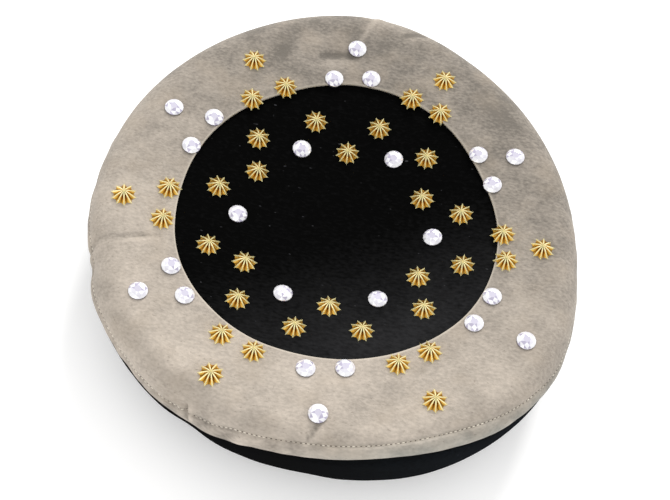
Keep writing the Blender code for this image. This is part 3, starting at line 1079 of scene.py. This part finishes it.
def stone_mesh():
    stone = bmesh.new()
    for circle in STONE_CIRCLES:
        for k in range(circle.corners):
            turn = 360 * (k + circle.turn) / circle.corners
            height = STONE_GIRDLE + STONE_CROWN * circle.height
            stone.verts.new(polar(turn, STONE_RADIUS * circle.reach, height))
    last = STONE_CIRCLES[-1]
    for k in range(last.corners):
        for height in (-STONE_SEAT, STONE_GIRDLE * GIRDLE_BEVEL):
            stone.verts.new(polar(360 * (k + last.turn) / last.corners, STONE_RADIUS, height))
    bmesh.ops.convex_hull(stone, input=list(stone.verts))
    bmesh.ops.dissolve_limit(stone, angle_limit=ONE_FACET, verts=stone.verts, edges=stone.edges)
    mesh = bpy.data.meshes.new("round_stone")
    stone.to_mesh(mesh)
    stone.free()
    glint = np.random.default_rng(REFLECTION_SEED)
    lilac_reflection, shade = [], []
    for face in mesh.polygons:
        table = face.normal.z > LEVEL_FACET and face.center.z > STONE_GIRDLE
        girdle = face.normal.z < STEEP_FACET
        # How lilac each facet is, is a painted reflection: lilac-grey on the table and at random on the other facets.
        lilac_reflection.append(TABLE_LILAC_REFLECTION if table else float(glint.choice(FACET_LILAC_REFLECTIONS)))
        shade.append(1.0 if girdle else 0.0)
    mesh.attributes.new("lilac_reflection", "FLOAT", "FACE").data.foreach_set("value", lilac_reflection)
    mesh.attributes.new("shade", "FLOAT", "FACE").data.foreach_set("value", shade)
    return mesh


def foiled_glass():
    finish = Finish("foiled_glass", metallic=0.25, roughness=0.12, coat_weight=0.5, coat_roughness=0.04)
    clear, lilac_reflection, shaded = colour(0.90, 0.90, 0.93), colour(0.36, 0.32, 0.47), colour(0.10, 0.095, 0.11)
    # The lilac on the facets is a painted reflection, partly for the stone's coating.
    bright = finish.mix(finish.kept("lilac_reflection"), clear, lilac_reflection)
    finish.feed("Base Color", finish.mix(finish.kept("shade"), bright, shaded))
    return finish.material


print("stone facets:", len(stone_mesh().polygons))

# %% The stones in their places
SEAT_STEP = 0.002
ROLL_LIMIT = 0.95


def surface_point(x, y, above_ring):
    """The crown's upper surface over a place on the plan, with its give."""
    reach = math.hypot(x, y)
    azimuth = math.degrees(math.atan2(y, x))
    past_crest = (reach - float(crest_reach(azimuth))) / ROLL_REACH
    if past_crest > 0:
        point = rim_point(azimuth, math.degrees(math.acos(min(past_crest, ROLL_LIMIT))))
    else:
        point = dish_point(azimuth, reach)
    drop = 0 if above_ring else SUEDE + GAP
    return Vector((x, y, float(point[2]) + float(give(np.array([x, y]))) - drop))


def seat(x, y, swing, above_ring):
    """The frame of a stone that lies on the crown."""
    east, west = (surface_point(x + step, y, above_ring) for step in (SEAT_STEP, -SEAT_STEP))
    north, south = (surface_point(x, y + step, above_ring) for step in (SEAT_STEP, -SEAT_STEP))
    normal = (east - west).cross(north - south).normalized()
    turn = normal.to_track_quat("Z", "Y").to_matrix().to_4x4() @ Matrix.Rotation(math.radians(swing), 4, "Z")
    return Matrix.Translation(surface_point(x, y, above_ring)) @ turn


def set_stones(zone, places, above_ring, mesh):
    for k, (x, y) in enumerate(places):
        made = bpy.data.objects.new(f"{zone}_stone_{k + 1}", mesh)
        bpy.context.scene.collection.objects.link(made)
        made.matrix_world = seat(x, y, STONE_SWING * k, above_ring)
        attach(made, "root")


stone = stone_mesh()
stone.materials.append(foiled_glass())
set_stones("panel", panel_stones, False, stone)
set_stones("ring", ring_stones, True, stone)

# %% [markdown]
# ## Floor, light and camera
# The cap lies on a white sheet, lit a little from below, in a bright room. The main light stands low on the far side,
# so that the studs throw their short shadows to the near side. A weak fill stands at the front. The camera looks down
# at 60 degrees and is rolled a little, as the photograph's was.

# %% The floor
FLOOR_SIZE = 6.0
FLOOR_DROP = 0.0002
bpy.ops.mesh.primitive_plane_add(size=FLOOR_SIZE, location=(0, 0, -FLOOR_DROP))
floor = bpy.context.object
floor.name = "floor"
paper = Finish("white_paper", roughness=0.9, emission_strength=0.22)
paper.shader.inputs["Emission Color"].default_value = colour(1.0, 1.0, 1.0)
fleck = paper.clouds(0.4, 1.0)
paper.feed("Base Color", paper.mix(fleck, colour(0.92, 0.92, 0.92), colour(0.94, 0.94, 0.94)))
floor.data.materials.append(paper.material)
print("floor:", FLOOR_SIZE, "m")

# %% The lights
LIGHTS_AIM = Vector((0, 0, 0.05))
ROOM_LIGHT = 0.94


def soft_light(name, place, size, watts, tint):
    light = bpy.data.lights.new(name, "AREA")
    light.shape = "SQUARE"
    light.size = size
    light.energy = watts
    light.color = tint
    made = bpy.data.objects.new(name, light)
    bpy.context.scene.collection.objects.link(made)
    made.location = place
    made.rotation_euler = (LIGHTS_AIM - Vector(place)).to_track_quat("-Z", "Y").to_euler()
    return made


soft_light("window", (0.42, 2.42, 1.72), 1.1, 80, (1.0, 0.99, 0.97))
soft_light("fill", (-0.4, -1.8, 1.3), 1.4, 6, (1.0, 0.98, 0.95))
world = bpy.data.worlds.new("studio")
world.use_nodes = True
room = world.node_tree.nodes["Background"]
room.inputs["Color"].default_value = colour(1.0, 1.0, 1.0)
room.inputs["Strength"].default_value = ROOM_LIGHT
bpy.context.scene.world = world
bpy.context.scene.view_settings.view_transform = "Standard"

# %% The camera
FRAME_WIDTH = 670
SENSOR_WIDTH = 36.0
FOCAL_PIXELS = 1694
CAMERA_DISTANCE = 0.9486
CAMERA_TILT = 60
CAMERA_ROLL = 10.5
AIM = Vector((0.0, -0.004, 0.0515))
AIM_RIGHT_PIXELS = 1.3
AIM_UP_PIXELS = 21.0

lens = bpy.data.cameras.new("camera")
lens.sensor_width = SENSOR_WIDTH
lens.lens = FOCAL_PIXELS / FRAME_WIDTH * SENSOR_WIDTH
lens.shift_x = -AIM_RIGHT_PIXELS / FRAME_WIDTH
lens.shift_y = -AIM_UP_PIXELS / FRAME_WIDTH
lens.clip_start = 0.05
camera = bpy.data.objects.new("camera", lens)
bpy.context.scene.collection.objects.link(camera)
tilt = math.radians(CAMERA_TILT)
camera.location = AIM + CAMERA_DISTANCE * Vector((0, -math.cos(tilt), math.sin(tilt)))
upright = Matrix.Rotation(math.radians(90 - CAMERA_TILT), 4, "X")
camera.rotation_euler = (upright @ Matrix.Rotation(math.radians(CAMERA_ROLL), 4, "Z")).to_euler()
bpy.context.scene.camera = camera
print("lens: %.1f mm" % lens.lens)
